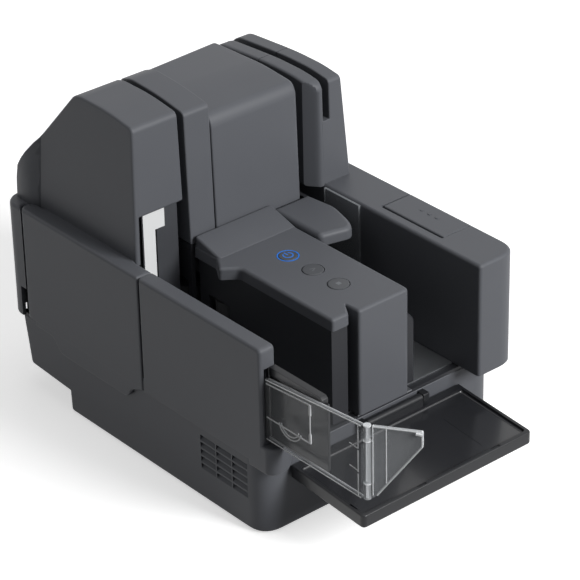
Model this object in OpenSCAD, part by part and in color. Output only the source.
// Desktop cheque scanner: a feed pocket on the left, a U-shaped transport track behind the
// centre block, an exit pocket on the right, a hinged left door, a hinged ink hatch, a folding
// front tray and a clear guide with a stop flap.
// Millimetres. Each piece is drawn from the base's front left bottom corner, with x to the
// right, y to the back and z up, and seat() moves that corner to its place on the table.

/* [Base housing] */
// Width of the ink bay at the right of the exit pocket
bay_w = 31; // [30:0.5:36]
// Overhang of the base's back over the table
overhang = 39.4; // [36:0.2:44]
// Wall thickness of the moulded covers
wall = 2.5; // [2.2:0.1:2.8]
// Radius of the base's front corners
corner_r = 12; // [9:1:15]
// Height of the step under the back of the base
step_h = 14.5; // [12:0.5:18]
// Height of the rubber feet under the base
foot_h = 1.5; // [1:0.1:2.5]
// Diameter of a rubber foot
foot_d = 14; // [10:1:16]
// Number of louvre rows in the left side
vent_rows = 5; // [3:1:6]
// Number of louvre columns in the left side
vent_cols = 3; // [2:1:3]

/* [Plan of the pockets] */
// How far the side covers stand out from the base
outset = 3; // [2.9:0.1:3.4]
// Thickness of the hollow left panels
panel_t = 11; // [11:0.1:11.6]
// Width of the feed pocket
feed_w = 45; // [44.5:0.1:45.5]
// Width of the console between the pockets
console_w = 55.5; // [55:0.1:56]
// Width of the exit pocket
exit_w = 41.5; // [41:0.1:42]
// Distance from the base's front to the towers
tower_y = 118; // [117.6:0.1:118.4]
// Straight length of the track between the towers' front and its turn
turn_run = 60; // [59.6:0.1:60.6]
// Inner radius of the track's turn
turn_r = 42; // [41.8:0.1:42.2]
// Width of the transport track
track_w = 4; // [3.8:0.1:4.2]
// Room between the track's turn and the rear wall
rear_room = 8.5; // [8:0.5:10]

/* [Heights] */
// Height of the pocket floor
floor_z = 52; // [51:0.1:53]
// Height of the left panels
panel_top = 126; // [125.5:0.1:127]
// Height of the left tower at its front
tower_top = 208.5; // [206:0.5:211]
// Rise of the tower's top towards its middle
crown = 2.8; // [1.5:0.1:4]
// Height of the centre cover at its front
centre_top = 198.5; // [196:0.5:201]
// Height of the right tower at its front
swipe_top = 192.4; // [190:0.5:196]
// Height of the console's top
console_top = 121.7; // [121:0.1:122.4]
// Height of the cut over the feed throat
throat_z = 152.5; // [151.5:0.1:153.5]

/* [Front tray] */
// Reach of the tray in front of the base
tray_reach = 62; // [56:1:66]
// Height of the tray's rim at its front
tray_rim_z = 36.4; // [35:0.2:37.5]
// Thickness of the tray at its front
tray_t = 8.4; // [7.5:0.1:9.5]
// Diameter of the tray's hinge barrel
barrel_d = 5; // [4.8:0.1:5.4]
// Diameter of the tray's hinge pin
tray_pin_d = 2.4; // [2:0.1:2.8]

/* [Clear guide] */
// Reach of the clear guide in front of the base
guide_reach = 84.3; // [83.5:0.1:88]
// Height of the clear guide at its front end
guide_h = 46.7; // [45:0.1:47.5]
// Thickness of the clear guide
guide_t = 1.8; // [1.5:0.1:2]
// Travel of the clear guide
guide_travel = 30; // [20:1:30]
// Length of the stop flap
flap_l = 30.6; // [28:0.2:32]
// Angle of the stop flap from the guide's line
flap_angle = 35; // [20:1:36]

/* [Console buttons] */
// Diameter of a push button
button_d = 11.4; // [11:0.1:11.8]
// Diameter of the feed and stop buttons
key_d = 12.8; // [12.2:0.1:13.2]
// Spacing of the push buttons
button_gap = 22; // [20:0.5:23]
// Travel of a push button
button_travel = 0.8; // [0.5:0.1:0.8]
// Height that a button stands proud
button_proud = 0.4; // [0.2:0.1:0.8]

/* [Card slot and hatch] */
// Width of the card slot
card_w = 4.8; // [4.6:0.1:5.2]
// Height of the card slot's floor
card_z = 167; // [165:0.5:170]
// Length of the ink hatch
hatch_l = 52; // [48:1:54]
// Width of the ink hatch
hatch_w = 24; // [23:0.5:25]
// Height of the hatch's hinge
hatch_z = 97; // [96:0.5:100]

/* [Rollers] */
// Radius of the transport rollers
drive_r = 10.5; // [10:0.1:10.6]
// Radius of the pinch rollers
pinch_r = 6; // [5.6:0.1:6]
// Radius of the pickup roller
pickup_r = 8.5; // [8:0.1:8.6]
// Radius of the feed roller
feed_r = 10; // [9.6:0.1:10]
// Radius of the retard roller
retard_r = 8.5; // [8:0.1:8.5]
// Diameter of the driven shafts
shaft_d = 5; // [4:0.2:5]
// Travel of the pusher
pusher_travel = 13; // [8:1:13]

/* [Hidden] */
$fn = 48;
// overrun of a cut, seam between fixed covers, play beside a moving piece, running fit, nip
over = 1;
seam = 0.8;
gap = 0.4;
play = 0.3;
fit = 0.05;
nip = 0.4;
// sheet and plate thicknesses
metal_t = 0.8;
deck_t = 2.2;
rib_t = 2;
// moulded plastic, dark trim, gloss tray, clear plastic, white plastic, steel and rubber
shell_c = "#4b4c50";
trim_c = "#2f3033";
tray_c = "#26272a";
clear_c = [0.85, 0.9, 0.93, 0.4];
white_c = "#e8e8e6";
steel_c = "#b9bbbe";
rubber_c = "#222222";

// lines of the plan
left_x = -outset;
pocket_l = panel_t - outset;
pocket_r = pocket_l + feed_w;
console_r = pocket_r + console_w;
exit_r = console_r + exit_w;
right_x = exit_r + bay_w;
body_w = right_x - outset;
slit_in = 8.5;
slit_x = pocket_r - slit_in;
inner_x = slit_x + track_w;
turn_x = inner_x + turn_r;
turn_y = tower_y + turn_run;
outer_r = turn_r + track_w;
exit_in_x = turn_x + turn_r;
exit_out_x = exit_in_x + track_w;
rear_y = turn_y + outer_r + rear_room + wall;
back_inset = 8.3;
back_lean = 5.3;
back_top = rear_y - back_inset;
back_low = back_top - back_lean;
floor_l = back_low - overhang;
// levels
deck_z = floor_z - metal_t;
base_h = deck_z - deck_t;
lip_z = deck_z - metal_t;
side_drop = 0.5;
side_top = panel_top - side_drop;
track_top = console_top + play;
track_h = track_top - floor_z;
over_top = tower_top + over * 10;
// the box that the whole scanner stands in, which seat() centres on the origin
knuckle_r = 2.2;
flap_out = 1.1;
flap_x = knuckle_r + flap_out;
front_reach = guide_reach + flap_l * cos(flap_angle) + guide_t / 2 * sin(flap_angle);

module seat()
    translate([-(left_x + right_x) / 2, -(rear_y - front_reach) / 2, foot_h]) children();
module box(a, b) translate(a) cube(b - a);
module post(p, r, h) translate(p) cylinder(r = r, h = h);
module rod_x(p, r, l) translate(p) rotate([0, 90, 0]) cylinder(r = r, h = l);
module rod_y(p, r, l) translate(p) rotate([-90, 0, 0]) cylinder(r = r, h = l);
// slabs whose outlines lie in the side view, the front view and the plan
module side_slab(points, x0, x1)
    translate([x0, 0, 0]) rotate([90, 0, 90]) linear_extrude(x1 - x0) polygon(points);
module front_slab(points, y0, y1)
    translate([0, y1, 0]) rotate([90, 0, 0]) linear_extrude(y1 - y0) polygon(points);
module plan_slab(points, z0, z1) translate([0, 0, z0]) linear_extrude(z1 - z0) polygon(points);
// plan with the base's rounded front corners, drawn in by an inset
module base_plan(inset, z0, z1, back) translate([0, 0, z0]) linear_extrude(z1 - z0) {
    translate([corner_r, inset]) square([body_w - 2 * corner_r, back - inset]);
    translate([inset, corner_r]) square([body_w - 2 * inset, back - corner_r]);
    for (x = [corner_r, body_w - corner_r]) translate([x, corner_r]) circle(r = corner_r - inset);
}

// Base housing
step_rise = 2.2;
vent_y = 13.4;
vent_z = 20;
vent_w = 12.4;
vent_t = 2.2;
vent_step_y = 14.2;
vent_step_z = 4.8;
lug_l = 4.6;
tray_axis_y = -3.2;
tray_axis_in = 3.5;
tray_axis_z = base_h - tray_axis_in;
barrel_in = 14;
barrel_x = body_w / 2 - barrel_in;
barrel_l = 42;
barrel_r = barrel_d / 2;
tray_pin_r = tray_pin_d / 2;
screw_r = 1.5;
head_r = 2.4;
screw_l = 12;
plate_lift = 1;
plate_top = plate_lift + rib_t;
post_r = 3.5;
post_in = wall * 2;
post_x = [post_in, body_w - post_in];
post_y_shares = [0.187, 0.824];
post_y = [for (s = post_y_shares) floor_l * s];
foot_edge = 15;
foot_in = foot_d / 2 + foot_edge;

function base_side(t) = [[t, t > 0 ? -over : 0], [floor_l - t, t > 0 ? -over : 0],
    [floor_l - t, step_h + t], [back_low - t, step_h + step_rise + t],
    [back_top - t, base_h + (t > 0 ? over : 0)], [t, base_h + (t > 0 ? over : 0)]];

module tray_lug(x) {
    rod_x([x, tray_axis_y, tray_axis_z], barrel_r, lug_l);
    box([x, tray_axis_y, tray_axis_z - barrel_r], [x + lug_l, wall / 2, tray_axis_z + barrel_r]);
}

module base_shell() color(shell_c) seat() difference() {
    union() {
        difference() {
            intersection() {
                side_slab(base_side(0), 0, body_w);
                base_plan(0, 0, base_h, back_top);
            }
            intersection() {
                side_slab(base_side(wall), wall, body_w - wall);
                base_plan(wall, -over, base_h + over, back_top);
            }
            for (row = [0 : vent_rows - 1], col = [0 : vent_cols - 1])
                translate([-over, vent_y + col * vent_step_y, vent_z + row * vent_step_z])
                    cube([wall + 2 * over, vent_w, vent_t]);
        }
        for (x = post_x, y = post_y) post([x, y, plate_top], post_r, base_h - plate_top);
        tray_lug(barrel_x - play - lug_l);
        tray_lug(barrel_x + barrel_l + play);
    }
    for (x = post_x, y = post_y) post([x, y, 0], screw_r + fit, plate_lift + screw_l + over);
    rod_x([barrel_x - lug_l - over, tray_axis_y, tray_axis_z], tray_pin_r + fit,
        barrel_l + 2 * lug_l + 2 * over);
}

// Bottom plate with its standoffs and motor pads
pad_r = 10;
pad_z = 14;
standoff_r = 3;
board_z = 12;
board_x = 20;
board_y = 22;
board_w = 50;
board_l = 126;
board_in = 5;
motor_in = 22;
motor_y = tower_y + motor_in;
feed_motor_in = 20.5;
feed_motor_x = console_r - feed_motor_in;
feed_motor_y = tower_y - motor_in;

module bottom_plate() color(trim_c) seat() difference() {
    union() {
        base_plan(wall + play, plate_lift, plate_top, floor_l - wall - play);
        for (x = [board_x + board_in, board_x + board_w - board_in],
                y = [board_y + board_in, board_y + board_l - board_in])
            post([x, y, plate_lift], standoff_r, board_z - plate_lift);
        post([turn_x, motor_y, plate_lift], pad_r, pad_z - plate_lift);
        post([feed_motor_x, feed_motor_y, plate_lift], pad_r, pad_z - plate_lift);
    }
    for (x = post_x, y = post_y) post([x, y, 0], screw_r + fit, plate_top + over);
}

module rubber_feet() color(rubber_c) seat()
    for (x = [foot_in, body_w - foot_in], y = [foot_in, floor_l - foot_in])
        post([x, y, -foot_h], foot_d / 2, foot_h + plate_lift);

module case_screws() color(steel_c) seat() for (x = post_x, y = post_y) {
    post([x, y, 0], head_r, plate_lift);
    post([x, y, 0], screw_r, plate_lift + screw_l);
}

// Deck, floor sheet and the places of the driven shafts
shaft_r = shaft_d / 2;
nip_x = slit_x + track_w / 2;
exit_nip_x = exit_in_x + track_w / 2;
feed_x = nip_x + nip / 2 + feed_r;
feed_in = 16.3;
feed_y = tower_y + feed_in;
pickup_out = 0.5;
pickup_x = pocket_r + pickup_r - pickup_out;
pickup_in = 18;
pickup_y = tower_y - pickup_in;
left_drive_x = nip_x + nip / 2 + drive_r;
left_drive_in = 9.5;
left_drive_y = turn_y - left_drive_in;
rear_drive_y = turn_y + turn_r + track_w / 2 - nip / 2 - drive_r;
right_drive_x = exit_nip_x - nip / 2 - drive_r;
right_drive_in = 13;
right_drive_y = turn_y - right_drive_in;
frame_shafts = [[feed_x, feed_y], [left_drive_x, left_drive_y], [turn_x, rear_drive_y],
    [right_drive_x, right_drive_y]];
door_x = pocket_l - panel_t / 2;
door_in = 21.8;
door_y = rear_y - door_in;
rod_r = 1.5;
deck_boss_r = 2.6;
deck_boss_h = 5.8;
tongue_in = 17.5;
tongue_x = pocket_r + tongue_in;
tongue_w = 41.5;
tongue_y = 1.2;
strip_y = 5;

module deck_plate() color(trim_c) seat() difference() {
    union() {
        base_plan(0, base_h, deck_z, back_top - over);
        post([door_x, door_y, base_h], deck_boss_r, deck_t + deck_boss_h);
    }
    for (p = concat(frame_shafts, [[pickup_x, pickup_y]]))
        post([p.x, p.y, base_h - over], shaft_r + fit, deck_t + 2 * over);
    post([door_x, door_y, base_h - over], rod_r + fit, deck_t + deck_boss_h + 2 * over);
}

module floor_strip() color(steel_c) seat() difference() {
    union() {
        box([pocket_l + play, strip_y, deck_z], [exit_r - play, tower_y - over, floor_z]);
        box([tongue_x, -tongue_y, deck_z], [tongue_x + tongue_w, strip_y + over, floor_z]);
    }
    post([pickup_x, pickup_y, deck_z - over], shaft_r + over, metal_t + 2 * over);
}

// Front left panel with the toe that wraps the base's corner
panel_front = 4;
panel_in = 14.7;
panel_end = tower_y - panel_in;
toe_reach = 12;
toe_w = 18;
toe_back = 8;
toe_top = 64;
toe_low = 46;
skin = wall;
guide_x = 0.5;
guide_lift = 3.9;
guide_low = toe_top + guide_lift;
slot_drop = 2.1;
slot_top = guide_low + guide_h - slot_drop;
toe_x_shares = [0, 0, 0.1, 0.3, 0.65, 1];
toe_y_shares = [-0.65, 0.6, 0.83, 1, 0.92, 0.42];

module front_left_panel() color(shell_c) seat() difference() {
    union() {
        box([left_x, -panel_front, deck_z], [pocket_l, panel_end, panel_top]);
        box([left_x, -panel_front, lip_z], [left_x + skin, panel_end, deck_z + over]);
        plan_slab(concat([for (i = [0 : 5]) [left_x + (toe_w - left_x) * toe_x_shares[i],
            -toe_reach * toe_y_shares[i]]], [[toe_w, -gap], [-gap, -gap], [-gap, toe_back]]),
            toe_low, toe_top);
    }
    box([left_x + skin, skin - panel_front, deck_z - over],
        [pocket_l - skin, panel_end - skin, panel_top - skin]);
    box([guide_x - play, -panel_front - over, guide_low - play],
        [guide_x + guide_t + play, skin, slot_top]);
}

// Dark rail beside the clear guide
rail_l = 46;
rail_x = 5.9;
rail_t = 1.8;
rail_low = toe_top + play;
cap_x = 3.4;
cap_h = 5.2;
guide_rear_h = 39;
cap_lift = 1.6;
cap_z = guide_low + guide_rear_h + cap_lift;

module guide_rail() color(tray_c) seat() {
    box([rail_x, -panel_front - rail_l, rail_low], [rail_x + rail_t, -panel_front, cap_z + over]);
    box([cap_x, -panel_front - rail_l, cap_z], [pocket_l, -panel_front, cap_z + cap_h]);
}

// Clear guide, its flap and the pin between them
guide_tail = 42;
tail_h = 30;
knuckle_l = 10;
window_y = 40;
window_l = 34;
window_lift = 12.1;
window_z = guide_low + window_lift;
window_h = 24;
window_t = 0.7;
flap_pin_r = 0.8;
flap_root = knuckle_r + gap;
flap_low = 4;
flap_tip_h = 9.4;
guide_top = guide_low + guide_h;
knuckle_low = guide_low + knuckle_l;
knuckle_high = guide_top - knuckle_l;

module flap_axis() translate([flap_x, -guide_reach, 0]) children();

module clear_guide() color(clear_c) seat() difference() {
    union() {
        side_slab([[-guide_reach + knuckle_r, guide_low], [guide_tail, guide_low],
            [guide_tail, guide_low + tail_h], [-panel_front, guide_low + guide_rear_h],
            [-guide_reach + knuckle_r, guide_top]], guide_x, guide_x + guide_t);
        for (z = [guide_low, knuckle_high]) {
            flap_axis() post([0, 0, z], knuckle_r, knuckle_l);
            box([guide_x, -guide_reach, z], [guide_x + guide_t, -guide_reach + 2 * knuckle_r,
                z + knuckle_l]);
        }
    }
    box([guide_x - over, -window_y, window_z], [guide_x + window_t, window_l - window_y,
        window_z + window_h]);
    box([guide_x - over, -guide_reach - 2 * knuckle_r, knuckle_low],
        [guide_x + guide_t + over, -guide_reach + knuckle_r + gap, knuckle_high]);
    flap_axis() post([0, 0, guide_low - over], flap_pin_r + fit, guide_h + 2 * over);
}

module stop_flap() color(clear_c) seat() flap_axis() rotate([0, 0, flap_angle]) difference() {
    union() {
        side_slab([[-flap_root, guide_low + gap], [-flap_root - flap_low, guide_low + flap_low],
            [-flap_l, guide_top - flap_tip_h], [-flap_l, guide_top], [-flap_root, guide_top]],
            -guide_t / 2, guide_t / 2);
        box([-guide_t / 2, -flap_root - over, knuckle_low + play],
            [guide_t / 2, 0, knuckle_high - play]);
        post([0, 0, knuckle_low + play], knuckle_r, knuckle_high - knuckle_low - 2 * play);
    }
    post([0, 0, knuckle_low], flap_pin_r + fit, knuckle_high - knuckle_low);
}

module flap_pin() color(steel_c) seat() flap_axis()
    post([0, 0, guide_low + gap], flap_pin_r, guide_h - 2 * gap);

// Outlines of the left tower: its side view, front view and the part that the door carries
tower_run = rear_y - tower_y;
tower_h = tower_top - panel_top;
tower_back = 3;
tower_side_lean = 4;
crest_y_shares = [0.23, 0.46];
slope_y_shares = [0.487, 0.757, 0.829, 0.929, 0.966];
slope_z_shares = [1.02, 0.596, 0.492, 0.327, 0.2545];
slope_in_shares = [0.74, 0.68];
door_seam_in = 2.2;
door_seam_y = door_y - door_seam_in;

function tower_side(t, shift) = concat([
    [tower_y + t, panel_top - (t > 0 ? over : 0)],
    [tower_y + tower_back + t, tower_top - crown * 0.7 - t],
    [tower_y + tower_run * crest_y_shares[0], tower_top + crown - t],
    [tower_y + tower_run * crest_y_shares[1] + shift, tower_top + crown - t]],
    [for (i = [0 : 4]) [min(tower_y + tower_run * slope_y_shares[i] + shift, rear_y)
        - t * slope_in_shares[0], panel_top + tower_h * slope_z_shares[i]
        - t * slope_in_shares[1]]],
    [[rear_y - t, panel_top + tower_h * slope_z_shares[4] - (shift > 0 ? 0 : tower_h / 8) - t],
     [rear_y - t, panel_top - (t > 0 ? over : 0)]]);

function tower_front(t) = [[pocket_l + t, panel_top - over], [pocket_l + tower_side_lean + t,
    tower_top], [pocket_l + tower_side_lean + t, over_top], [slit_x - t, over_top],
    [slit_x - t, panel_top - over]];

module tower_solid(t) intersection() {
    side_slab(tower_side(t, 0), pocket_l, slit_x);
    front_slab(tower_front(t), tower_y - over, rear_y + over);
}

// Left door: the rear left panel and the left tower in one moulding
door_front = panel_end + seam;
door_r = panel_t / 2;
skirt_front = [1.2, 11.1, 14.6];
skirt_back = [33.2, 29.2, 21.8, 4.2];
door_low_y = concat([for (s = skirt_front) door_front + s], [for (s = skirt_back) door_y - s]);
door_low_z = [0, 4, 11, 11, 10.6, 2, 2];
alcove_y = 24.5;
foot_t = 5;
knuckle_h = [6, 7.5];
knuckle_lift = 5.3;
knuckle_z = [floor_z + knuckle_lift, panel_top - skin - knuckle_h[1]];
pusher_t = 1.4;
pusher_in = 4.8;
pusher_y = tower_y + pusher_in;
pusher_out = 9.5;
pusher_x = pocket_l + pusher_out;
pusher_w = 8.5;
pusher_arm = 7;
sensor_in = 28;
sensor_y = tower_y + sensor_in;
sensor_w = 11;
sensor_t = 6;
sensor_lift = 3;
sensor_low = floor_z + sensor_lift;
sensor_rise = 7.5;
sensor_top = throat_z + sensor_rise;

module door_half(t, z0, z1) plan_slab([[pocket_l - over, tower_y - over], [slit_x + over,
    tower_y - over], [slit_x + over, turn_y - gap - t], [slit_x, turn_y - gap - t],
    [pocket_l, door_seam_y - gap - t], [pocket_l - over, door_seam_y - gap - t]], z0, z1);

module left_door_cover() color(shell_c) seat() difference() {
    union() {
        difference() {
            union() {
                box([left_x, door_front, deck_z + play], [pocket_l, door_y, panel_top]);
                post([door_x, door_y, deck_z + play], door_r, panel_top - deck_z - play);
                side_slab(concat([for (i = [0 : 6]) [door_low_y[i], lip_z - door_low_z[i]]],
                    [[door_low_y[6], deck_z + wall], [door_front, deck_z + wall],
                    [door_front, lip_z]]), left_x, left_x + skin);
            }
            box([left_x + skin, door_front + skin, deck_z - over],
                [pocket_l - skin, door_y, panel_top - skin]);
            post([door_x, door_y, deck_z - over], door_r - skin, panel_top - skin - deck_z + over);
        }
        for (i = [0, 1]) post([door_x, door_y, knuckle_z[i]], door_r - skin + gap, knuckle_h[i]);
        box([pocket_l - skin, tower_y, panel_top - foot_t],
            [pocket_l + skin, door_seam_y - foot_t, panel_top + gap]);
        difference() {
            intersection() {
                tower_solid(0);
                door_half(0, panel_top, over_top);
            }
            intersection() {
                tower_solid(skin);
                door_half(skin * 1.35, panel_top - over, over_top);
            }
            box([pocket_l + skin + gap, tower_y - over, panel_top - over],
                [slit_x + over, tower_y + alcove_y, throat_z]);
        }
        box([pocket_l + skin + gap, tower_y + tower_back, throat_z],
            [slit_x - over, tower_y + alcove_y, throat_z + skin]);
    }
    for (i = [0, 1]) post([door_x, door_y, knuckle_z[i] - over], rod_r + fit, knuckle_h[i] + 2 * over);
    box([pusher_x - over, pusher_y - gap, throat_z - over],
        [pusher_x + pusher_w + pusher_travel + over, pusher_y + pusher_t + gap,
        throat_z + skin + over]);
    box([slit_x - skin - over, sensor_y - play, panel_top - over],
        [slit_x + over, sensor_y + sensor_w + play, sensor_top + play]);
}

module door_hinge_rod() color(steel_c) seat()
    post([door_x, door_y, base_h], rod_r, panel_top - skin - base_h - over);

// Track wall of the door, with two shelves that carry the pinch roller
track_start = tower_y + alcove_y + gap;
track_end_in = 1.4;
track_end = turn_y - track_end_in;
shelf_t = 2.5;
tyre_share = 0.314;
tyre_h = track_h * tyre_share;
tyre_z = floor_z + tyre_h;
shelf_lift = 5;
shelf_z = [floor_z + shelf_lift, tyre_z + tyre_h + 3 * shelf_lift];
pinch_x = nip_x - nip / 2 - pinch_r;
pinch_shaft_r = 1.5;
window_clear = 1;

module door_track_wall() color(trim_c) seat() difference() {
    union() {
        box([slit_x - skin, track_start, floor_z + play], [slit_x, track_end, panel_top]);
        for (z = shelf_z) plan_slab([[pocket_l, track_start], [slit_x - skin / 2, track_start],
            [slit_x - skin / 2, track_end], [pocket_l, track_end + skin * 8]], z, z + shelf_t);
    }
    box([slit_x - sensor_t - over, sensor_y - play, sensor_low - play],
        [slit_x + over, sensor_y + sensor_w + play, panel_top + over]);
    box([slit_x - skin - over, left_drive_y - pinch_r - window_clear, tyre_z - window_clear],
        [slit_x + over, left_drive_y + pinch_r + window_clear, tyre_z + tyre_h + window_clear]);
    post([pinch_x, left_drive_y, floor_z], pinch_shaft_r + fit, panel_top - floor_z);
}

module outer_image_sensor() color(trim_c) seat()
    box([slit_x - sensor_t, sensor_y, sensor_low], [slit_x - play, sensor_y + sensor_w, sensor_top]);

module pinch_roller(x, y, z0, z1) {
    post([x, y, z0], pinch_shaft_r, z1 - z0);
    post([x, y, tyre_z], pinch_r, tyre_h);
}

module left_pinch_roller() color(rubber_c) seat()
    pinch_roller(pinch_x, left_drive_y, shelf_z[0] - rib_t, shelf_z[1] + shelf_t + rib_t);

// Retard roller and its housing, which close the back of the feed pocket
retard_x = nip_x - nip / 2 - retard_r;
retard_w = 15.3;
retard_front = pusher_y + pusher_t + over;
wide_share = 0.4;
retard_lift = 10;
retard_tyre_z = floor_z + retard_lift;
retard_tyre_h = track_h * wide_share;
retard_shelf_gap = 6;
retard_shelf_z = [retard_tyre_z - retard_shelf_gap, retard_tyre_z + retard_tyre_h + retard_shelf_gap];
retard_shaft_r = 2;
guide_wall = 1.8;

module retard_cover() color("#7d7f83") seat() {
    back = tower_y + alcove_y;
    left = slit_x - gap - retard_w;
    difference() {
        union() {
            box([left, retard_front, floor_z + play], [slit_x - gap, back, throat_z]);
            box([pocket_l, back - guide_wall, floor_z + play],
                [left + over, back, panel_top - foot_t]);
            box([pocket_l + skin + gap, back - guide_wall, floor_z + play],
                [left + over, back, throat_z]);
        }
        difference() {
            box([left + guide_wall, retard_front + guide_wall, floor_z],
                [slit_x - gap - guide_wall, back - guide_wall, throat_z + over]);
            for (z = retard_shelf_z) box([left, retard_front, z], [slit_x, back, z + shelf_t]);
        }
        box([slit_x - gap - guide_wall - over, feed_y - retard_r, retard_tyre_z - over],
            [slit_x + over, feed_y + retard_r, retard_tyre_z + retard_tyre_h + over]);
        post([retard_x, feed_y, retard_tyre_z - over], retard_r + gap, retard_tyre_h + 2 * over);
        post([retard_x, feed_y, floor_z], retard_shaft_r + fit, retard_shelf_z[1]);
    }
}

module retard_roller() color(rubber_c) seat() {
    post([retard_x, feed_y, floor_z + over], retard_shaft_r, retard_shelf_z[1] - floor_z + rib_t * 2);
    post([retard_x, feed_y, retard_tyre_z], retard_r, retard_tyre_h);
}

// Pusher that holds the cheques against the rollers, sliding on a rod inside the tower
pusher_lift = 8;
pusher_low = floor_z + pusher_lift;
rod_lift = 6;
rod_z = throat_z + skin + rod_lift;
carriage_h = 10;
carriage_t = 7;
arm_h = 13.1;
arm_low = throat_z - gap - arm_h;
pusher_rod_r = 2;
pusher_rod_y = pusher_y + carriage_t / 2 + over;

module pusher_plate() color(white_c) seat() difference() {
    union() {
        box([pusher_x, pusher_y, pusher_low], [pusher_x + pusher_w, pusher_y + pusher_t,
            rod_z + carriage_h / 2]);
        box([pusher_x, pusher_y, arm_low], [pusher_x + pusher_w + pusher_arm, pusher_y + pusher_t,
            throat_z - gap]);
        box([pusher_x, pusher_y + pusher_t - fit, rod_z - carriage_h / 2],
            [pusher_x + pusher_w, pusher_y + over + carriage_t, rod_z + carriage_h / 2]);
    }
    rod_x([pusher_x - over, pusher_rod_y, rod_z], pusher_rod_r + fit, pusher_w + 2 * over);
}

module pusher_rod() color(steel_c) seat()
    rod_x([pocket_l + tower_side_lean + skin, pusher_rod_y, rod_z], pusher_rod_r,
        slit_x - skin - pocket_l - tower_side_lean - skin);

// Right tower: side view, front view and card slot
swipe_in = 9.5;
swipe_l = exit_in_x + swipe_in;
swipe_w = 24;
swipe_r = swipe_l + swipe_w;
swipe_foot = 5.5;
swipe_front = 1.8;
chamfer_x = 7;
chamfer_y = 9;
swipe_seam_in = 11;
swipe_seam_y = turn_y - swipe_seam_in;
swipe_rise = 2.1;
swipe_y_shares = [0.154, 0.333, 0.607, 0.744, 1];
swipe_z_shares = [0.9, 1, 0.1, -0.43, -16];
card_in = 9.6;
card_x = swipe_l + card_in;
card_floor_t = 2.5;
swipe_end_h = 32.5;
swipe_slope_z = side_top + swipe_end_h;

function swipe_side(t) = [[tower_y + t, side_top - (t > 0 ? over : 0)],
    [tower_y + swipe_front + t, swipe_top - t],
    [tower_y + tower_run * swipe_y_shares[0], swipe_top + swipe_rise * swipe_z_shares[0] - t],
    [tower_y + tower_run * swipe_y_shares[1], swipe_top + swipe_rise * swipe_z_shares[1] - t],
    [tower_y + tower_run * swipe_y_shares[2], swipe_top + swipe_rise * swipe_z_shares[2] - t],
    [tower_y + tower_run * swipe_y_shares[3] - t / 2, swipe_top
        + swipe_rise * swipe_z_shares[3] - t],
    [rear_y - t, swipe_slope_z - t], [rear_y - t, side_top - (t > 0 ? over : 0)]];

function swipe_view(t) = [[swipe_l + t, side_top - over], [swipe_l + t, over_top],
    [swipe_r - t, over_top], [swipe_r - t, swipe_top], [swipe_r + swipe_foot - t, side_top],
    [swipe_r + swipe_foot - t, side_top - over]];

module swipe_solid(t) intersection() {
    side_slab(swipe_side(t), swipe_l, swipe_r + swipe_foot);
    front_slab(swipe_view(t), tower_y - over, rear_y + over);
    plan_slab([[swipe_l + chamfer_x + t / 2, tower_y - over], [swipe_l + chamfer_x + t / 2, tower_y],
        [swipe_l + t / 2, tower_y + chamfer_y], [swipe_l + t / 2, rear_y + over],
        [right_x, rear_y + over], [right_x, tower_y - over]], side_top - 2 * over, over_top);
}

// hollow tower between two y values, with the walls of the card slot standing in it
module swipe_shell(y0, y1) difference() {
    intersection() {
        swipe_solid(0);
        box([swipe_l, y0, side_top], [right_x, y1, over_top]);
    }
    difference() {
        swipe_solid(wall);
        box([card_x - wall, tower_y - over, card_z - card_floor_t],
            [card_x + card_w + wall, rear_y + over, over_top]);
    }
    box([card_x, tower_y - over, card_z], [card_x + card_w, rear_y + over, over_top]);
}

module right_tower_cover() color(shell_c) seat() swipe_shell(tower_y, swipe_seam_y - gap);

head_in = 22;
head_y = tower_y + head_in;
head_l = 12;
head_z = card_z + over;
head_h = 10;
head_t = 4;

module card_reader_head() color(steel_c) seat()
    box([card_x + card_w + wall, head_y, head_z], [card_x + card_w + wall + head_t, head_y + head_l,
        head_z + head_h]);

// Centre cover and the slice beside it
slice_w = 18.7;
centre_x = inner_x + slice_w + gap;
centre_out = 0.5;
centre_r = exit_in_x + centre_out;
centre_back = 10;
centre_lean = 2;
centre_shoulder = 8;
centre_rise = 8.5;
slice_drop = 2;
rear_shift = 9;

function centre_side(t) = [[tower_y + gap + t, track_top - (t > 0 ? over : 0)],
    [tower_y + gap + centre_lean + t, centre_top - centre_shoulder - t / 2],
    [tower_y + centre_shoulder * 0.8 + t / 3, centre_top - t],
    [turn_y, centre_top + centre_rise - t],
    [turn_y + centre_back + (t > 0 ? over : 0), centre_top + centre_rise - t],
    [turn_y + centre_back + (t > 0 ? over : 0), track_top - (t > 0 ? over : 0)]];

function centre_view(t) = [[centre_x + t, track_top - over], [centre_x + t,
    centre_top + centre_rise - t], [centre_r - t, centre_top + over - t],
    [centre_r - t, track_top - over]];

module centre_solid(t) intersection() {
    side_slab(centre_side(t), centre_x, centre_r);
    front_slab(centre_view(t), tower_y - over, rear_y);
}

module centre_cover() color(shell_c) seat() difference() {
    centre_solid(0);
    centre_solid(wall);
}

function slice_side(t) = [[tower_y + seam + t, track_top - (t > 0 ? over : 0)],
    [tower_y + seam + centre_lean + t, tower_top - slice_drop * 1.5 - t],
    [tower_y + tower_run * 0.08, tower_top - slice_drop - t],
    [tower_y + tower_run * crest_y_shares[0], tower_top + crown * 0.5 - t],
    [tower_y + tower_run * crest_y_shares[1], tower_top + crown - t],
    [turn_y + (t > 0 ? over : 0), tower_top - t], [turn_y + (t > 0 ? over : 0),
    track_top - (t > 0 ? over : 0)]];

module centre_slice() color(shell_c) seat() difference() {
    side_slab(slice_side(0), inner_x, inner_x + slice_w);
    side_slab(slice_side(wall), inner_x + wall, inner_x + slice_w - wall);
}

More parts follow.
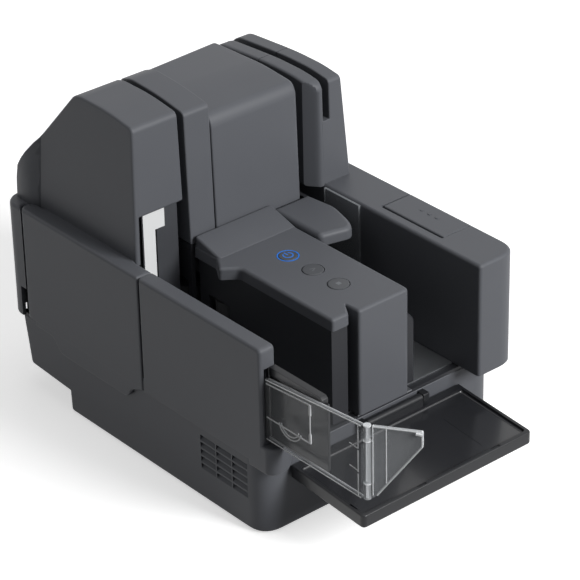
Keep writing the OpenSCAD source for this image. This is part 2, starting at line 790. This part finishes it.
// Rear cover: the rear wall with its corner columns, and the sloping backs of the towers
rear_seam = seam;
column_r = 12;
slit_run = 8;
slit_end = turn_y + slit_run;
bridge_in = 20;
bridge_y = rear_y - bridge_in;

module rear_plan(inset, z0, z1) translate([0, 0, z0]) linear_extrude(z1 - z0) {
    translate([left_x + inset, door_y]) square([right_x - left_x - 2 * inset,
        rear_y - column_r - door_y]);
    translate([left_x + column_r, door_y]) square([right_x - left_x - 2 * column_r,
        rear_y - inset - door_y]);
    for (x = [left_x + column_r, right_x - column_r])
        translate([x, rear_y - column_r]) circle(r = column_r - inset);
}

module left_back(t, shift, x0, x1, y0) intersection() {
    side_slab(tower_side(t, shift), x0 + t, x1 - t);
    plan_slab([[x0 - over, y0], [x1 + over, y0], [x1 + over, rear_y + over],
        [x0 - over, rear_y + over]], panel_top - 2 * over, over_top);
}

module rear_hump(t) {
    intersection() {
        tower_solid(t);
        plan_slab([[pocket_l - over, door_seam_y + gap + t], [pocket_l, door_seam_y + gap + t],
            [slit_x + over, turn_y + gap + t], [slit_x + over, rear_y + over],
            [pocket_l - over, rear_y + over]], panel_top - 2 * over, over_top);
    }
    left_back(t, 0, slit_x - 2 * t - over, centre_x + 2 * t, turn_y + gap + over);
    left_back(t, rear_shift, centre_x, centre_r, turn_y + centre_back + gap);
    left_back(t, rear_shift, centre_r - 2 * t - over, swipe_l + 2 * t + over, bridge_y);
}

// Swelling of the rear cover's left side behind the tower, and the notch at the column's foot
cheek_out = [0, 2.2, 3.5, 3.1, 0.4];
cheek_y = [0.5, 3.5, 10, 16.5, 22];
notch_l = 8.3;
notch_h = 19;

module cheek() intersection() {
    side_slab(tower_side(0, 0), left_x, pocket_l + tower_side_lean);
    plan_slab(concat([[pocket_l + tower_side_lean, door_seam_y + cheek_y[0]]],
        [for (i = [0 : 4]) [pocket_l - cheek_out[i], door_seam_y + cheek_y[i]]],
        [[pocket_l + tower_side_lean, door_seam_y + cheek_y[4]]]), panel_top + gap, over_top);
}

module rear_cover() color(shell_c) seat() difference() {
    union() {
        rear_plan(0, lip_z, panel_top);
        rear_hump(0);
        cheek();
        intersection() {
            swipe_solid(0);
            box([swipe_l, swipe_seam_y + gap, side_top], [right_x, rear_y, over_top]);
        }
        box([swipe_l, bridge_y, panel_top - over], [swipe_r, rear_y, panel_top + over]);
    }
    difference() {
        union() {
            rear_plan(wall, lip_z - over, panel_top - wall);
            rear_hump(wall);
            swipe_solid(wall);
            box([pocket_l + wall, door_y - over, lip_z - over],
                [exit_r - wall, rear_y - column_r, panel_top + over]);
            box([pocket_l + tower_side_lean + wall, door_y - over, panel_top - wall - over],
                [swipe_r - wall, rear_y - wall, panel_top + over]);
        }
        box([card_x - wall, tower_y - over, card_z - card_floor_t],
            [card_x + card_w + wall, rear_y + over, over_top]);
        box([left_x, door_y - over, lip_z - over], [left_x + wall, rear_y, panel_top]);
    }
    box([card_x, tower_y - over, card_z], [card_x + card_w, rear_y + over, over_top]);
    box([slit_x, turn_y - over, panel_top], [inner_x, slit_end, over_top]);
    box([left_x - over, door_y - door_r - over, lip_z - over],
        [right_x + over, door_y + door_r * 0.38, side_top]);
    post([door_x, door_y, lip_z - over], door_r + gap, panel_top - lip_z + 2 * over);
    box([left_x - over, door_y - door_r - over, lip_z - over],
        [door_x - door_r * 0.9, door_y + door_r * 0.56, panel_top + over]);
    box([left_x - over, door_y - door_r - over, lip_z - over], [pocket_l + gap, door_y,
        panel_top + gap]);
    box([left_x - over, door_y, lip_z - over], [left_x + wall + over, door_y + notch_l,
        floor_z + notch_h]);
    rear_cuts();
}

// Sockets in the rear wall
inlet_x = 30;
inlet_w = 24;
inlet_lift = 10;
inlet_z = floor_z + inlet_lift;
inlet_h = 22;
inlet_l = 20;
inlet_rim = 2.5;
inlet_depth = 14;
blade_r = 1.2;
usb_x = 62;
usb_w = 12;
usb_lift = 14;
usb_z = floor_z + usb_lift;
usb_h = 11;
usb_l = 10.5;
usb_rim = 1;
usb_depth = 8;

module rear_cuts() {
    box([inlet_x - play, rear_y - wall - over, inlet_z - play],
        [inlet_x + inlet_w + play, rear_y + over, inlet_z + inlet_h + play]);
    box([usb_x - play, rear_y - wall - over, usb_z - play],
        [usb_x + usb_w + play, rear_y + over, usb_z + usb_h + play]);
}

module power_inlet() color(tray_c) seat() {
    difference() {
        box([inlet_x, rear_y - inlet_l, inlet_z], [inlet_x + inlet_w, rear_y, inlet_z + inlet_h]);
        box([inlet_x + inlet_rim, rear_y - inlet_depth, inlet_z + inlet_rim],
            [inlet_x + inlet_w - inlet_rim, rear_y + over, inlet_z + inlet_h - inlet_rim]);
    }
    for (i = [-1, 0, 1]) rod_y([inlet_x + inlet_w / 2 + i * inlet_w / 4, rear_y - inlet_depth - over,
        inlet_z + inlet_h / 3], blade_r, inlet_depth - over);
}

module usb_socket() color(steel_c) seat() difference() {
    box([usb_x, rear_y - usb_l, usb_z], [usb_x + usb_w, rear_y, usb_z + usb_h]);
    box([usb_x + usb_rim, rear_y - usb_depth, usb_z + usb_rim],
        [usb_x + usb_w - usb_rim, rear_y + over, usb_z + usb_h - usb_rim]);
}

// Right side cover with the ink bay under its hatch
side_front = 17;
hatch_y = 22;
hatch_x = right_x - hatch_w;
hatch_r = 2.3;
hatch_axis_x = right_x - hatch_r;
hatch_pin_r = 1;
ear_l = 4;
bay_drop = 5;
bay_z = hatch_z - bay_drop;
bay_in = 3;
bay_wall = 1.5;

module side_plan(inset, z0, z1, back) translate([0, 0, z0]) linear_extrude(z1 - z0) {
    translate([exit_r + inset, inset - side_front])
        square([right_x - exit_r - corner_r - inset, back + side_front - inset]);
    translate([exit_r + inset, corner_r - side_front])
        square([right_x - exit_r - 2 * inset, back + side_front - corner_r]);
    translate([right_x - corner_r, corner_r - side_front]) circle(r = corner_r - inset);
}

module right_side_cover() color(shell_c) seat() {
    back = door_y + door_r * 0.38 - gap;
    difference() {
        union() {
            difference() {
                side_plan(0, deck_z, side_top, back);
                side_plan(wall, deck_z - over, side_top - wall, back - wall);
            }
            intersection() {
                side_plan(0, lip_z, deck_z + over, back);
                box([right_x - wall, corner_r, lip_z], [right_x, back, deck_z + over]);
            }
            intersection() {
                side_plan(0, deck_z, deck_z + wall, back);
                box([exit_r, -side_front, deck_z], [right_x, play, deck_z + wall]);
            }
            box([exit_r + wall / 2, hatch_y - bay_in, bay_z], [right_x - wall / 2,
                hatch_y + hatch_l + bay_in, bay_z + wall]);
            for (y = [hatch_y - bay_in, hatch_y + hatch_l + bay_in - bay_wall])
                box([exit_r + wall / 2, y, bay_z], [right_x - wall / 2, y + bay_wall,
                    side_top - wall / 2]);
            for (y = [hatch_y - gap - ear_l, hatch_y + hatch_l + gap])
                rod_y([hatch_axis_x, y, hatch_z], hatch_r, ear_l);
        }
        box([hatch_x - gap, hatch_y - gap, side_top - wall - over],
            [right_x + over, hatch_y + hatch_l + gap, side_top + over]);
        box([hatch_axis_x - hatch_r - gap, hatch_y - gap, hatch_z - hatch_r - play],
            [right_x + over, hatch_y + hatch_l + gap, side_top + over]);
        rod_y([hatch_axis_x, hatch_y - gap - ear_l - over, hatch_z], hatch_pin_r + fit,
            hatch_l + 2 * gap + 2 * ear_l + 2 * over);
    }
}

dot_r = 1.2;
dot_h = 0.4;
dot_in = 9.7;
dot_step = 6.5;

module hatch_cover() color(shell_c) seat() difference() {
    union() {
        front_slab([[hatch_x, side_top], [hatch_x, side_top - wall], [right_x - wall,
            side_top - wall], [right_x - wall, hatch_z], [right_x, hatch_z], [right_x, side_top]],
            hatch_y, hatch_y + hatch_l);
        rod_y([hatch_axis_x, hatch_y, hatch_z], hatch_r, hatch_l);
        for (i = [-1, 0, 1]) post([right_x - dot_in, hatch_y + hatch_l / 2 + i * dot_step,
            side_top - over], dot_r, dot_h + over);
    }
    rod_y([hatch_axis_x, hatch_y - over, hatch_z], hatch_pin_r + fit, hatch_l + 2 * over);
}

module hatch_pin() color(steel_c) seat()
    rod_y([hatch_axis_x, hatch_y - gap - ear_l, hatch_z], hatch_pin_r, hatch_l + 2 * gap + 2 * ear_l);

ink_in = 6;
ink_x = exit_r + ink_in;
ink_w = 15;
ink_out = 8;
ink_y = hatch_y + ink_out;
ink_l = hatch_l - 2 * ink_out;
ink_h = 22;
ink_lip = 4;

module ink_cartridge() color(trim_c) seat() {
    box([ink_x, ink_y, bay_z + wall], [ink_x + ink_w, ink_y + ink_l, bay_z + wall + ink_h]);
    box([ink_x + ink_lip, ink_y + ink_lip, bay_z + wall + ink_h - over],
        [ink_x + ink_w - ink_lip, ink_y + ink_l - ink_lip, bay_z + wall + ink_h + over]);
}

eject_t = 1.6;
eject_y = 85;
eject_l = 31;

module eject_guide() color(clear_c) seat()
    box([exit_r - eject_t, eject_y, floor_z], [exit_r, eject_y + eject_l, side_top - over]);

// Track walls and the frame that carries the rollers' upper bearings
module arch(r, z0, z1, y0) translate([0, 0, z0]) linear_extrude(z1 - z0) {
    translate([turn_x, turn_y]) circle(r = r);
    translate([turn_x - r, y0]) square([2 * r, turn_y - y0]);
}

module inner_track_wall() color(trim_c) seat() difference() {
    arch(turn_r, floor_z, track_top, tower_y + seam);
    arch(turn_r - wall, floor_z - over, track_top + over, tower_y - over);
    for (y = [feed_y, left_drive_y]) box([inner_x - over, y - drive_r - over, retard_tyre_z - over],
        [inner_x + wall + over, y + drive_r + over, tyre_z + tyre_h + over]);
    box([exit_in_x - wall - over, right_drive_y - drive_r, tyre_z - over],
        [exit_in_x + over, right_drive_y + drive_r, tyre_z + tyre_h + over]);
    box([turn_x - drive_r, turn_y, tyre_z - over], [turn_x + drive_r, rear_y, tyre_z + tyre_h + over]);
    box([inner_x - over, sensor_y - play, sensor_low - play],
        [inner_x + sensor_t, sensor_y + sensor_w + play, track_top - wall]);
    box([exit_in_x - wall - over, ink_head_y - play, ink_head_z - play],
        [exit_in_x + over, ink_head_y + ink_head_l + play, ink_head_z + ink_head_h + play]);
}

outer_rise = 28;
outer_top = track_top + outer_rise;
ear_w = 8;
bearing_gap = 6;
bearing_z = [tyre_z - bearing_gap - rib_t, tyre_z + tyre_h + bearing_gap];
exit_pinch_x = exit_nip_x + nip / 2 + pinch_r;

module outer_track_wall() color(trim_c) seat() difference() {
    union() {
        difference() {
            arch(outer_r + wall, floor_z, track_top, tower_y + seam);
            box([exit_out_x, tower_y + seam, track_top - over], [exit_out_x + wall, turn_y,
                outer_top]);
            arch(outer_r, floor_z - over, outer_top + over, tower_y - over);
            box([turn_x - outer_r - 2 * wall, tower_y, floor_z - over],
                [turn_x, turn_y + wall + over, outer_top + over]);
        }
        for (z = bearing_z) box([exit_out_x + wall / 2, right_drive_y - ear_w / 2, z],
            [exit_pinch_x + ear_w / 2, right_drive_y + ear_w / 2, z + shelf_t]);
    }
    box([exit_out_x - over, right_drive_y - pinch_r - over, tyre_z - over],
        [exit_out_x + wall + over, right_drive_y + pinch_r + over, tyre_z + tyre_h + over]);
    post([exit_pinch_x, right_drive_y, bearing_z[0] - over], pinch_shaft_r + fit,
        bearing_z[1] - bearing_z[0] + 2 * shelf_t);
}

frame_front = tower_y + seam;

module roller_frame() color(steel_c) seat() difference() {
    union() {
        box([inner_x + wall, frame_front, track_top - shelf_t], [exit_in_x - wall, turn_y, track_top]);
        intersection() {
            post([turn_x, turn_y, track_top - shelf_t], turn_r - wall - play, shelf_t);
            box([inner_x, turn_y - over, floor_z], [exit_in_x, rear_y, track_top]);
        }
    }
    for (p = frame_shafts) post([p.x, p.y, track_top - shelf_t - over], shaft_r + fit,
        shelf_t + 2 * over);
}

module inner_image_sensor() color(trim_c) seat()
    box([inner_x + play, sensor_y, sensor_low], [inner_x + sensor_t, sensor_y + sensor_w,
        track_top - shelf_t]);

ink_head_in = 18;
ink_head_y = tower_y + ink_head_in;
ink_head_l = 12;
ink_head_z = floor_z + rib_t;
ink_head_h = 16;
ink_head_t = 6;

module magnetic_ink_head() color(steel_c) seat()
    box([exit_in_x - ink_head_t, ink_head_y, ink_head_z],
        [exit_in_x - play, ink_head_y + ink_head_l, ink_head_z + ink_head_h]);

// Console between the pockets
block_out = 17.2;
block_x = pocket_r + block_out;
block_front = 3;
strip_w = 11.7;
strip_x = pocket_r + strip_w;
notch_y = 8.4;
slab_front = 0.7;
slab_t = 7.7;
fold_l = 23;
fold_y = tower_y - fold_l;
fold_rise = 6;
wing_x = 10;
plate_back = tower_y - gap;
plate_out = 3;
wing_y = 8;
wing_l = 15.6;
block_in = 0.2;
block_r = console_r - block_in;
button_in = 29;
button_x = pocket_r + button_in;
button_y = 27.5;
ring_w = 0.8;
ring_h = 2.4;
ring_r = button_d / 2 + ring_w + fit * 3;
board_drop = 11;
board_top = console_top - board_drop;
board_post_r = 1.5;

function button_at(i) = button_y + i * button_gap;
slab_outline = [[pocket_r - gap, -slab_front], [strip_x, -slab_front], [block_x, notch_y],
    [block_x, -block_front], [block_r, -block_front], [block_r, fold_y],
    [pocket_r - plate_out, fold_y + plate_out], [pocket_r - wing_x, fold_y - wing_y],
    [pocket_r, fold_y - wing_l]];

module console_cover() color(shell_c) seat() difference() {
    union() {
        plan_slab(slab_outline, console_top - slab_t, console_top);
        box([block_x, -block_front, floor_z], [block_r, plate_back, console_top]);
        side_slab([[fold_y - over, console_top - slab_t], [fold_y - over, console_top - fit],
            [fold_y, console_top], [plate_back, console_top + fold_rise],
            [plate_back, console_top - slab_t]], pocket_r - plate_out, block_r);
    }
    difference() {
        union() {
            box([block_x + wall, wall - block_front, floor_z - over],
                [block_r - wall, plate_back - wall, console_top - wall]);
            box([pocket_r - over, fold_y - wall * 6, console_top - slab_t - over],
                [block_x + 2 * wall, plate_back - wall, console_top - wall]);
        }
        for (i = [0, 1]) post([button_x, button_y + button_gap * (i + 0.5), board_top], board_post_r,
            console_top - board_top);
    }
    for (i = [0, 1]) post([button_x, button_at(i), console_top - wall - over],
        key_d / 2 + play / 2, wall + 2 * over);
    post([button_x, button_at(2), console_top - wall - over], ring_r + fit, wall + 2 * over);
}

module power_ring() color("#2f6fd0") seat() difference() {
    post([button_x, button_at(2), console_top - ring_h], ring_r, ring_h + fit);
    post([button_x, button_at(2), console_top - ring_h - over], button_d / 2 + play / 2,
        ring_h + 2 * over);
}

flange_w = 1;
flange_t = 1.2;
stem_r = 2;
dome_r = 3;
dome_h = 2;
stem_end = board_top + dome_h + button_travel + 2 * fit;

module button(i) {
    cap_r = (i == 2 ? button_d : key_d) / 2;
    post([button_x, button_at(i), console_top - wall - flange_t - play], cap_r,
        wall + flange_t + play + button_proud);
    post([button_x, button_at(i), console_top - wall - flange_t - play], cap_r + flange_w,
        flange_t);
    post([button_x, button_at(i), stem_end], stem_r, console_top - wall - stem_end);
}

module power_button() color("#45464a") seat() button(2);
module feed_button() color("#45464a") seat() button(1);
module stop_button() color("#45464a") seat() button(0);

board_t = 1.6;
panel_board_w = 16;
panel_board_l = 60;

module button_board() color("#1f5b3a") seat() {
    box([button_x - panel_board_w / 2, button_at(1) - panel_board_l / 2, board_top - board_t],
        [button_x + panel_board_w / 2, button_at(1) + panel_board_l / 2, board_top]);
    for (i = [0 : 2]) post([button_x, button_at(i), board_top], dome_r, dome_h);
}

// Wall on the feed side of the console, with the pickup roller's window and bearing shelf
feed_wall_z = console_top - slab_t;
strip_l = 30;
pickup_tyre_z = retard_tyre_z;
pickup_tyre_h = retard_tyre_h;
pickup_shelf_gap = 4;
pickup_shelf_z = pickup_tyre_z + pickup_tyre_h + pickup_shelf_gap;

module feed_wall() color(trim_c) seat() difference() {
    union() {
        box([pocket_r, slab_front, floor_z], [pocket_r + wall, plate_back, feed_wall_z]);
        box([pocket_r, slab_front, floor_z], [strip_x, slab_front + wall, feed_wall_z]);
        box([strip_x - wall, slab_front, floor_z], [strip_x, slab_front + strip_l, feed_wall_z]);
        box([pocket_r + over, pickup_y - pickup_r, pickup_shelf_z],
            [strip_x, pickup_y + pickup_r, pickup_shelf_z + shelf_t]);
    }
    box([pocket_r - over, pickup_y - pickup_r - over, pickup_tyre_z - over],
        [pocket_r + wall + over, pickup_y + pickup_r + over, pickup_tyre_z + pickup_tyre_h + over]);
    post([pickup_x, pickup_y, pickup_shelf_z - over], shaft_r + fit, shelf_t + 2 * over);
}

side_block_w = 10.4;
side_block_y = 4;
side_block_drop = 20.7;
side_block_h = console_top - floor_z - side_block_drop;
side_chamfer = 6;
ledge_drop = 5.7;
ledge_z = console_top - ledge_drop;
ledge_rise = 2.3;
ledge_top = console_top + ledge_rise;
ledge_reach = 31;

module console_side_block() color(trim_c) seat()
    front_slab([[console_r, floor_z], [console_r + side_block_w, floor_z],
        [console_r + side_block_w, floor_z + side_block_h - side_chamfer],
        [console_r + side_block_w - side_chamfer, floor_z + side_block_h],
        [console_r, floor_z + side_block_h]], side_block_y, fold_y);

ledge_x_shares = [0.69, 0.84, 1, 0.92];
ledge_y_shares = [1, 0.82, 0.45, 0.016];
ledge_l = 48.7;
ledge_front_share = 0.89;

module ledge_cover() color(shell_c) seat() {
    plan_slab(concat([[console_r + gap, plate_back], [console_r + gap, plate_back - ledge_l * ledge_front_share]],
        [for (i = [0 : 3]) [console_r + ledge_reach * ledge_x_shares[i],
        plate_back - ledge_l * ledge_y_shares[i]]]), ledge_z, ledge_top);
    box([console_r + gap, fold_y - side_block_w, floor_z + side_block_h], [console_r + side_block_w
        - side_chamfer, plate_back, ledge_z + over]);
}

// Folding tray: a rim round a gloss panel, with a hinge barrel in the middle of its back edge
tray_l = 20;
tray_r = exit_r - 0.6;
tray_back = 0.9;
tray_rise = 4.2;
tray_low_rise = 2;
tray_rim_w = 2.6;
rim_drop = 1.8;
panel_gloss_t = 0.9;
tray_under = 2;

function tray_top(y) = tray_rim_z + tray_rise * (y + tray_reach) / tray_reach;
function tray_low(y) = tray_rim_z - tray_t + tray_low_rise * (y + tray_reach) / tray_reach;
function tray_slice(y0, y1, top, low) = [[y0, tray_top(y0) + top], [y1, tray_top(y1) + top],
    [y1, tray_top(y1) + low], [y0, tray_top(y0) + low]];

module tray_body() color(tray_c) seat() difference() {
    union() {
        side_slab([[-tray_reach, tray_low(-tray_reach)], [-tray_back, tray_low(-tray_back)],
            [-tray_back, tray_top(-tray_back)], [-tray_reach, tray_top(-tray_reach)]],
            tray_l, tray_r);
        rod_x([barrel_x, tray_axis_y, tray_axis_z], barrel_r, barrel_l);
        box([barrel_x, tray_axis_y - barrel_r, tray_top(0) - rim_drop], [barrel_x + barrel_l,
            tray_axis_y + barrel_r - wall / 2, tray_axis_z]);
    }
    side_slab(tray_slice(-tray_reach + tray_rim_w, -tray_back - tray_rim_w - barrel_r, over,
        -rim_drop - panel_gloss_t), tray_l + tray_rim_w, tray_r - tray_rim_w);
    side_slab([[-tray_reach + tray_rim_w, tray_low(-tray_reach) - over],
        [-tray_back - tray_rim_w, tray_low(0) - over],
        [-tray_back - tray_rim_w, tray_top(0) - rim_drop - panel_gloss_t - tray_under],
        [-tray_reach + tray_rim_w, tray_top(-tray_reach) - rim_drop - panel_gloss_t - tray_under]],
        tray_l + tray_rim_w, tray_r - tray_rim_w);
    rod_x([barrel_x - over, tray_axis_y, tray_axis_z], tray_pin_r + fit, barrel_l + 2 * over);
}

module tray_floor() color("#1d1e20") seat()
    side_slab(tray_slice(-tray_reach + tray_rim_w + play, -tray_back - tray_rim_w - barrel_r - play,
        -rim_drop, -rim_drop - panel_gloss_t), tray_l + tray_rim_w + play,
        tray_r - tray_rim_w - play);

module tray_pin() color(steel_c) seat()
    rod_x([barrel_x - play - lug_l, tray_axis_y, tray_axis_z], tray_pin_r,
        barrel_l + 2 * play + 2 * lug_l);

// Rollers on their shafts, with a belt pulley under the deck
pulley_r = 6;
pulley_h = 5;
pulley_drop = 3;
pulley_z = base_h - pulley_drop - pulley_h;
belt_t = 1.2;

module driven(p, r, z0, h, top) {
    post([p.x, p.y, pulley_z - over], shaft_r, top - pulley_z + over);
    post([p.x, p.y, pulley_z], pulley_r, pulley_h);
    post([p.x, p.y, z0], r, h);
}

module pickup_roller() color(rubber_c) seat() driven([pickup_x, pickup_y], pickup_r, pickup_tyre_z,
    pickup_tyre_h, pickup_shelf_z + shelf_t);
module feed_roller() color(rubber_c) seat() driven(frame_shafts[0], feed_r, retard_tyre_z,
    retard_tyre_h, track_top - gap);
module left_drive_roller() color(rubber_c) seat() driven(frame_shafts[1], drive_r, tyre_z, tyre_h,
    track_top - gap);
module rear_drive_roller() color(rubber_c) seat() driven(frame_shafts[2], drive_r, tyre_z, tyre_h,
    track_top - gap);
module right_drive_roller() color(rubber_c) seat() driven(frame_shafts[3], drive_r, tyre_z, tyre_h,
    track_top - gap);
module right_pinch_roller() color(rubber_c) seat()
    pinch_roller(exit_pinch_x, right_drive_y, bearing_z[0] - over, bearing_z[1] + shelf_t + over);

motor_r = 17;
feed_motor_r = 14;
spindle_l = 2;
motor_top = pulley_z - spindle_l;
spindle_r = 1.5;

module motor(p, r) {
    post([p.x, p.y, pad_z], r, motor_top - pad_z);
    post([p.x, p.y, motor_top - over], spindle_r, pulley_z - motor_top + 2 * over);
    post([p.x, p.y, pulley_z], pulley_r, pulley_h);
}

module transport_motor() color(steel_c) seat() motor([turn_x, motor_y], motor_r);
module feed_motor() color(steel_c) seat() motor([feed_motor_x, feed_motor_y], feed_motor_r);

// a belt is the ring between two hulls of the pulleys' circles
module belt(points) translate([0, 0, pulley_z + gap]) linear_extrude(pulley_h - 2 * gap)
    difference() {
        hull() for (p = points) translate(p) circle(r = pulley_r + play + belt_t, $fn = 32);
        hull() for (p = points) translate(p) circle(r = pulley_r + play, $fn = 32);
    }

module transport_belt() color(rubber_c) seat()
    belt([frame_shafts[1], frame_shafts[2], frame_shafts[3], [turn_x, motor_y]]);
module feed_belt() color(rubber_c) seat()
    belt([frame_shafts[0], [pickup_x, pickup_y], [feed_motor_x, feed_motor_y]]);

chip_h = 2;
chip_in = 12;
chip_w = 16;
chip_pitch = 40;

module main_board() color("#1f5b3a") seat() {
    box([board_x, board_y, board_z], [board_x + board_w, board_y + board_l, board_z + board_t]);
    for (i = [0 : 2]) box([board_x + chip_in, board_y + chip_in + i * chip_pitch,
        board_z + board_t],
        [board_x + chip_in + chip_w, board_y + chip_in + chip_w + i * chip_pitch,
        board_z + board_t + chip_h]);
}

base_shell();
bottom_plate();
rubber_feet();
case_screws();
deck_plate();
floor_strip();
front_left_panel();
guide_rail();
clear_guide();
stop_flap();
flap_pin();
left_door_cover();
door_track_wall();
door_hinge_rod();
outer_image_sensor();
left_pinch_roller();
retard_cover();
retard_roller();
pusher_plate();
pusher_rod();
rear_cover();
right_side_cover();
right_tower_cover();
card_reader_head();
centre_cover();
centre_slice();
inner_track_wall();
outer_track_wall();
roller_frame();
inner_image_sensor();
magnetic_ink_head();
console_cover();
feed_wall();
console_side_block();
ledge_cover();
power_ring();
power_button();
feed_button();
stop_button();
button_board();
hatch_cover();
hatch_pin();
ink_cartridge();
eject_guide();
tray_body();
tray_floor();
tray_pin();
pickup_roller();
feed_roller();
left_drive_roller();
rear_drive_roller();
right_drive_roller();
right_pinch_roller();
transport_motor();
transport_belt();
feed_motor();
feed_belt();
main_board();
power_inlet();
usb_socket();
